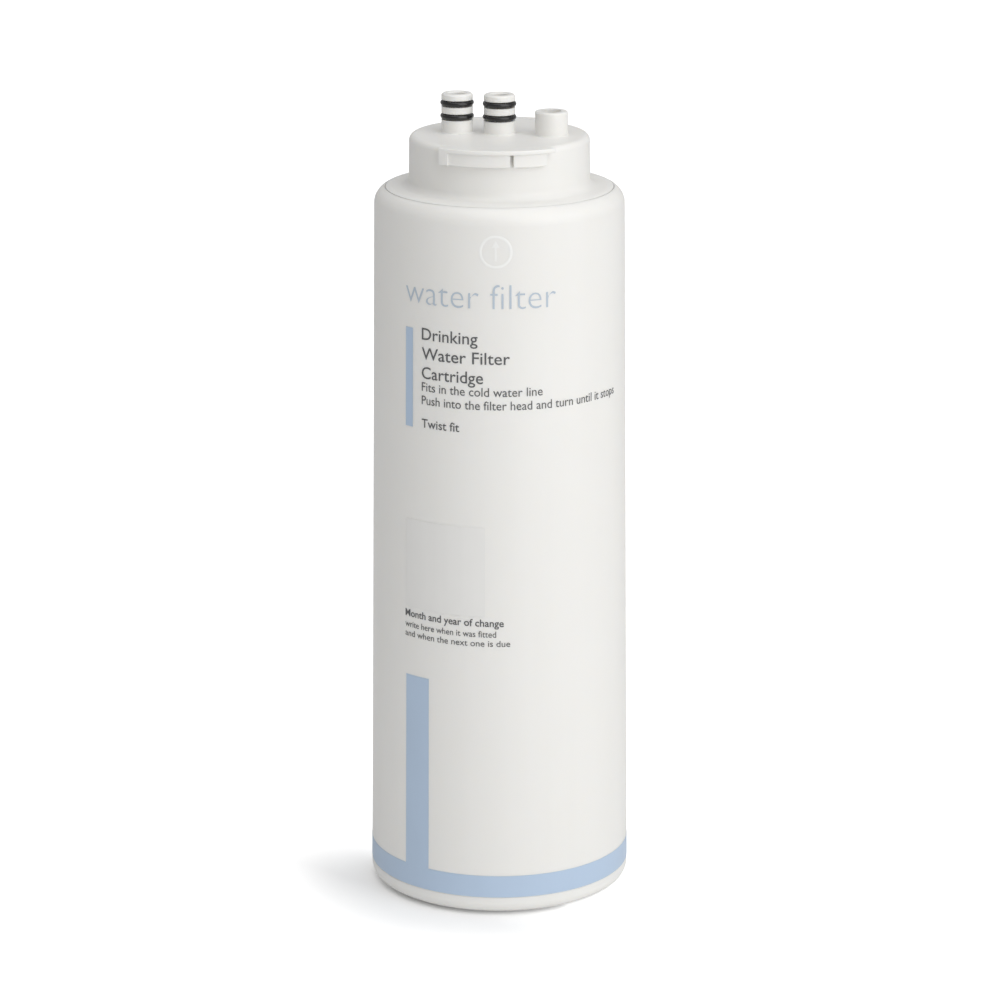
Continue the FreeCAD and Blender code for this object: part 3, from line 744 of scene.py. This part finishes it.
class CARTRIDGE_OT_seals(bpy.types.Operator):
    """Finish the O-rings in greased black rubber"""
    bl_idname = "cartridge.seals"
    bl_label = "Seals"

    def execute(self, context):
        _, finish, _ = settings()
        dress_nodes(SEAL_PARTS, greased_rubber("black_nitrile", finish.rubber_colour))
        return {"FINISHED"}


class CARTRIDGE_OT_date_label(bpy.types.Operator):
    """Finish the write-on label in matt film"""
    bl_idname = "cartridge.date_label"
    bl_label = "Write-on label"

    def execute(self, context):
        _, finish, _ = settings()
        dress_nodes(("date_patch",), write_on_film("label_film", finish.label_colour))
        return {"FINISHED"}


class CARTRIDGE_OT_element(bpy.types.Operator):
    """Finish the parts of the filter element inside the shell"""
    bl_idname = "cartridge.element"
    bl_label = "Filter element"

    def execute(self, context):
        natural = moulded_plastic("natural_polypropylene", colour=(0.74, 0.74, 0.69),
                                  shade=(0.68, 0.68, 0.62), roughness=0.42, subsurface=0.4)
        net = moulded_plastic("net_polyethylene", colour=(0.82, 0.83, 0.84),
                              shade=(0.76, 0.77, 0.79), roughness=0.5, subsurface=0.2,
                              edge_radius=0.1 * MM)
        dress_nodes(NATURAL_PARTS, natural)
        dress_nodes(("outer_netting",), net)
        dress_nodes(("carbon_block",), pressed_carbon("pressed_carbon"))
        dress_nodes(FELT_PARTS, soft_felt("non_woven"))
        dress_nodes(GLUE_PARTS, cloudy_adhesive("hot_melt"))
        dress_nodes(("support_pad",), matt_elastomer("pad_elastomer"))
        return {"FINISHED"}


class CARTRIDGE_OT_blue_band(bpy.types.Operator):
    """Print the blue band round the base, with the wide bar that rises from it"""
    bl_idname = "cartridge.blue_band"
    bl_label = "Blue band and bar"
    STEPS_ROUND = 360  # points round the band, so one at each whole degree

    def execute(self, context):
        printed, finish, _ = settings()
        deselect()
        foot = printed.band_low
        radius = wall_radius(foot) + printed.ink_lift
        bpy.ops.mesh.primitive_circle_add(vertices=self.STEPS_ROUND, radius=radius, fill_type="NOTHING",
                                          location=(0, 0, foot))
        band = bpy.context.object
        apply_place(band)
        bpy.ops.object.mode_set(mode="EDIT")
        bpy.ops.mesh.select_all(action="SELECT")
        rise = printed.band_high - foot
        bpy.ops.mesh.extrude_region_move(TRANSFORM_OT_translate={"value": (0, 0, rise)})
        bpy.ops.object.mode_set(mode="OBJECT")
        self.select_bar_edge(band, printed)
        bpy.ops.object.mode_set(mode="EDIT")
        rise = printed.bar_top - printed.band_high
        bpy.ops.mesh.extrude_region_move(TRANSFORM_OT_translate={"value": (0, 0, rise)})
        bpy.ops.mesh.select_all(action="SELECT")
        bpy.ops.mesh.normals_make_consistent(inside=False)
        bpy.ops.object.mode_set(mode="OBJECT")
        for vertex in band.data.vertices:
            angle = math.atan2(vertex.co.x, -vertex.co.y)
            vertex.co = on_wall(angle, vertex.co.z, printed.ink_lift)
        self.thicken(band, printed.ink_thickness)
        band.name = band.data.name = "blue_band_print"
        finish_piece(band, ink("blue_ink", finish.blue_colour))
        return {"FINISHED"}

    def select_bar_edge(self, band, printed):
        """Select the stretch of the band's upper rim that the bar rises from."""
        half_step = 0.5 * 360 / self.STEPS_ROUND
        low = printed.bar_start - half_step
        high = printed.bar_end + half_step
        for polygon in band.data.polygons:
            polygon.select = False
        inside = {}
        for vertex in band.data.vertices:
            angle = math.degrees(math.atan2(vertex.co.x, -vertex.co.y))
            upper = vertex.co.z > (printed.band_low + printed.band_high) / 2
            inside[vertex.index] = upper and low < angle < high
            vertex.select = inside[vertex.index]
        for edge in band.data.edges:
            edge.select = inside[edge.vertices[0]] and inside[edge.vertices[1]]

    def thicken(self, band, thickness):
        """Give the ink its thickness, outwards from the face next to the wall."""
        film = band.modifiers.new("film", "SOLIDIFY")
        film.thickness = thickness
        film.offset = 1.0
        make_active(band)
        bpy.ops.object.modifier_apply(modifier=film.name)


class CARTRIDGE_OT_accent_bar(bpy.types.Operator):
    """Print the narrow upright bar beside the description"""
    bl_idname = "cartridge.accent_bar"
    bl_label = "Accent bar"

    def execute(self, context):
        printed, finish, _ = settings()
        deselect()
        width = printed.accent_width
        tall = printed.accent_high - printed.accent_low
        bpy.ops.mesh.primitive_cube_add(size=1.0, location=(width / 2, tall / 2, 0),
                                        scale=(width, tall, printed.ink_thickness))
        bar = bpy.context.object
        apply_place(bar)
        lift_film(bar, printed)
        slice_upright(bar, MARK_STRIP)
        wrap_on_wall(bar, printed.left_margin, printed.accent_low)
        bar.name = bar.data.name = "accent_bar_print"
        finish_piece(bar, bpy.data.materials["blue_ink"])
        return {"FINISHED"}


class CARTRIDGE_OT_title(bpy.types.Operator):
    """Print the title: two generic words in a pale ink"""
    bl_idname = "cartridge.title"
    bl_label = "Title"

    def execute(self, context):
        printed, finish, _ = settings()
        title = print_block(TITLE_LINES, printed.left_margin, "title_print")
        finish_piece(title, ink("title_ink", finish.title_colour))
        return {"FINISHED"}


class CARTRIDGE_OT_description(bpy.types.Operator):
    """Print the grey description beside the accent bar"""
    bl_idname = "cartridge.description"
    bl_label = "Description"

    def execute(self, context):
        printed, finish, _ = settings()
        block = print_block(DESCRIPTION_LINES, printed.text_margin, "description_print")
        finish_piece(block, ink("grey_ink", finish.grey_colour))
        return {"FINISHED"}


class CARTRIDGE_OT_date_lines(bpy.types.Operator):
    """Print the three small lines under the write-on label"""
    bl_idname = "cartridge.date_lines"
    bl_label = "Date lines"

    def execute(self, context):
        printed, _, _ = settings()
        block = print_block(DATE_LINES, printed.left_margin, "date_lines_print")
        finish_piece(block, bpy.data.materials["grey_ink"])
        return {"FINISHED"}


class CARTRIDGE_OT_mould_mark(bpy.types.Operator):
    """Raise the round mould mark with its arrow high on the shell's front"""
    bl_idname = "cartridge.mould_mark"
    bl_label = "Mould mark"

    def execute(self, context):
        height = 228.2 * MM
        angle = math.radians(-1.7)
        ring_radius = 5.0 * MM
        line = 0.45 * MM
        flatten = 0.09
        thickness = 2 * line * flatten
        shaft_middle, shaft_width, shaft_length = -0.7 * MM, 0.7 * MM, 4.6 * MM
        head_middle, head_radius = 2.2 * MM, 1.5 * MM
        deselect()
        bpy.ops.mesh.primitive_torus_add(major_radius=ring_radius, minor_radius=line,
                                         major_segments=96, minor_segments=12)
        ring = bpy.context.object
        ring.scale = (1, 1, flatten)
        apply_place(ring)
        deselect()
        bpy.ops.mesh.primitive_cube_add(size=1.0, location=(0, shaft_middle, 0),
                                        scale=(shaft_width, shaft_length, thickness))
        shaft = bpy.context.object
        apply_place(shaft)
        deselect()
        bpy.ops.mesh.primitive_cylinder_add(vertices=3, radius=head_radius, depth=thickness,
                                            location=(0, head_middle, 0))
        head = bpy.context.object
        apply_place(head)
        mark = join([ring, shaft, head], "mould_mark")
        bpy.ops.object.mode_set(mode="EDIT")
        bpy.ops.mesh.select_all(action="SELECT")
        bpy.ops.mesh.normals_make_consistent(inside=False)
        bpy.ops.object.mode_set(mode="OBJECT")
        slice_upright(mark, MARK_STRIP)
        wrap_on_wall(mark, angle, height)
        finish_piece(mark, bpy.data.materials["white_polypropylene"])
        return {"FINISHED"}


# ---------------------------------------------------------------- stage

class CARTRIDGE_OT_stage(bpy.types.Operator):
    """Set the pale floor, the white surround, the soft lights and the camera"""
    bl_idname = "cartridge.stage"
    bl_label = "Stage"

    def execute(self, context):
        self.add_floor()
        self.add_surround(context.scene)
        self.add_lights()
        self.add_camera(context.scene)
        context.scene.view_settings.view_transform = "Standard"
        return {"FINISHED"}

    def add_floor(self):
        _, _, stage = settings()
        deselect()
        floor_radius = 14.0
        bpy.ops.mesh.primitive_circle_add(vertices=96, radius=floor_radius, fill_type="NGON")
        floor = bpy.context.object
        floor.name = "floor"
        material, nodes, shader = new_material("pale_floor")
        place = nodes.add("TexCoord").outputs["Object"]
        light_grey, dark_grey = (0.90, 0.90, 0.90), (0.88, 0.88, 0.88)
        cloud = nodes.span(nodes.noise(place, 3.0, 2.0), *NOISE_RANGE)
        nodes.feed(shader.inputs["Base Color"],
                   nodes.mix(cloud, rgba(light_grey), rgba(dark_grey)))
        shader.inputs["Roughness"].default_value = 0.8
        shader.inputs["Specular IOR Level"].default_value = 0.2
        shader.inputs["Emission Color"].default_value = WHITE
        glow = self.floor_glow(nodes, place, stage)
        seen = nodes.add("LightPath").outputs["Is Camera Ray"]
        nodes.feed(shader.inputs["Emission Strength"], nodes.math("MULTIPLY", seen, glow))
        floor.data.materials.append(material)

    def floor_glow(self, nodes, place, stage):
        """The floor's lift to white, held back to paint a contact shadow on the base's front left, and
        raised behind the cartridge and to its right, painting out the key light's shadow there.
        """
        front_left = (-1.0, -1.2, 0.0)
        shade_start, shade_full = 0.4 * FOOT_RADIUS, 1.4 * FOOT_RADIUS
        least_glow = 0.25
        far_start, far_full = 0.15, 3.5
        # painted shadow: ambient occlusion dims the floor's glow near the base, most on its front left
        sky = nodes.add("AmbientOcclusion", samples=12, Distance=stage.contact_reach).outputs["AO"]
        side = nodes.add("VectorMath", operation="DOT_PRODUCT")
        nodes.feed(side.inputs[0], place)
        nodes.feed(side.inputs[1], front_left)
        shaded = nodes.span(side.outputs["Value"], shade_start, shade_full)
        lift = nodes.math("POWER", sky, nodes.math("MULTIPLY", shaded, stage.contact_depth))
        held_back = nodes.span(lift, *FULL_RANGE, new_low=least_glow, new_high=1.0)
        near = nodes.math("MULTIPLY", held_back, stage.floor_glow)
        # painted light: extra glow where the floor is not shaded, which hides the key light's shadow
        # behind
        clear = nodes.span(shaded, *FULL_RANGE, new_low=stage.open_glow, new_high=0.0)
        away = nodes.add("VectorMath", operation="LENGTH")
        nodes.feed(away.inputs[0], place)
        far = nodes.span(away.outputs["Value"], far_start, far_full, 0.0, stage.far_glow)
        return nodes.math("ADD", clear, nodes.math("ADD", near, far))

    def add_surround(self, scene):
        """White behind everything, but dimmer as a light than it looks."""
        _, _, stage = settings()
        world = bpy.data.worlds.new("white_surround")
        world.use_nodes = True
        nodes = Nodes(world.node_tree)
        background = world.node_tree.nodes["Background"]
        background.inputs["Color"].default_value = WHITE
        seen = nodes.add("LightPath").outputs["Is Camera Ray"]
        nodes.feed(background.inputs["Strength"],
                   nodes.span(seen, *FULL_RANGE, new_low=stage.surround, new_high=1.0))
        scene.world = world

    def add_lights(self):
        _, _, stage = settings()
        middle = Vector((0, 0, 0.5 * OVERALL_HEIGHT))
        self.add_panel("key_light", middle, azimuth=40, elevation=25, distance=2.0,
                       width=2.0, tall=2.0, power=stage.key_power)
        self.add_panel("top_light", middle, azimuth=20, elevation=80, distance=2.0,
                       width=2.0, tall=2.0, power=stage.top_power)
        self.add_panel("strip_light", middle, azimuth=76, elevation=5, distance=1.2,
                       width=0.12, tall=1.0, power=stage.strip_power)

    def add_panel(self, name, target, azimuth, elevation, distance, width, tall, power):
        """An area light on a sphere round the target, facing it; azimuth 0 is in front."""
        turn = math.radians(azimuth)
        rise = math.radians(elevation)
        away = Vector((math.sin(turn) * math.cos(rise), -math.cos(turn) * math.cos(rise),
                       math.sin(rise)))
        data = bpy.data.lights.new(name, "AREA")
        data.shape = "RECTANGLE"
        data.size = width
        data.size_y = tall
        data.energy = power
        light = bpy.data.objects.new(name, data)
        bpy.context.scene.collection.objects.link(light)
        light.location = target + away * distance
        light.rotation_euler = (-away).to_track_quat("-Z", "Y").to_euler()

    def add_camera(self, scene):
        _, _, stage = settings()
        aim_height = 0.49 * OVERALL_HEIGHT
        target = Vector((0, 0, aim_height))
        away = Vector((0, -math.cos(stage.pitch), math.sin(stage.pitch)))
        data = bpy.data.cameras.new("camera")
        data.lens = stage.lens
        data.sensor_width = 36.0
        data.dof.use_dof = False
        camera = bpy.data.objects.new("camera", data)
        scene.collection.objects.link(camera)
        camera.location = target + away * stage.distance
        camera.rotation_euler = (-away).to_track_quat("-Z", "Y").to_euler()
        scene.camera = camera


# ---------------------------------------------------------------- add-on

STEPS = (
    CARTRIDGE_OT_shared_groups,
    CARTRIDGE_OT_white_parts,
    CARTRIDGE_OT_seals,
    CARTRIDGE_OT_date_label,
    CARTRIDGE_OT_element,
    CARTRIDGE_OT_blue_band,
    CARTRIDGE_OT_accent_bar,
    CARTRIDGE_OT_title,
    CARTRIDGE_OT_description,
    CARTRIDGE_OT_date_lines,
    CARTRIDGE_OT_mould_mark,
    CARTRIDGE_OT_stage,
)


class CARTRIDGE_PT_panel(bpy.types.Panel):
    """Settings and steps of the cartridge's looks"""
    bl_idname = "CARTRIDGE_PT_panel"
    bl_label = "Cartridge"
    bl_space_type = "VIEW_3D"
    bl_region_type = "UI"
    bl_category = "Cartridge"

    def draw(self, context):
        for group in settings():
            box = self.layout.box()
            for name in group.__annotations__:
                box.prop(group, name)
        for step in STEPS:
            self.layout.operator(step.bl_idname)


GROUPS = (CartridgePrintSettings, CartridgeFinishSettings, CartridgeStageSettings)
SCENE_NAMES = ("cartridge_print", "cartridge_finish", "cartridge_stage")


def register():
    for item in GROUPS + STEPS + (CARTRIDGE_PT_panel,):
        bpy.utils.register_class(item)
    for name, group in zip(SCENE_NAMES, GROUPS):
        setattr(bpy.types.Scene, name, bpy.props.PointerProperty(type=group))


def unregister():
    for name in SCENE_NAMES:
        delattr(bpy.types.Scene, name)
    for item in reversed(GROUPS + STEPS + (CARTRIDGE_PT_panel,)):
        bpy.utils.unregister_class(item)


def main():
    """Register the add-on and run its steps."""
    register()
    for step in STEPS:
        family, name = step.bl_idname.split(".")
        getattr(getattr(bpy.ops, family), name)()


if __name__ == "__main__":
    main()
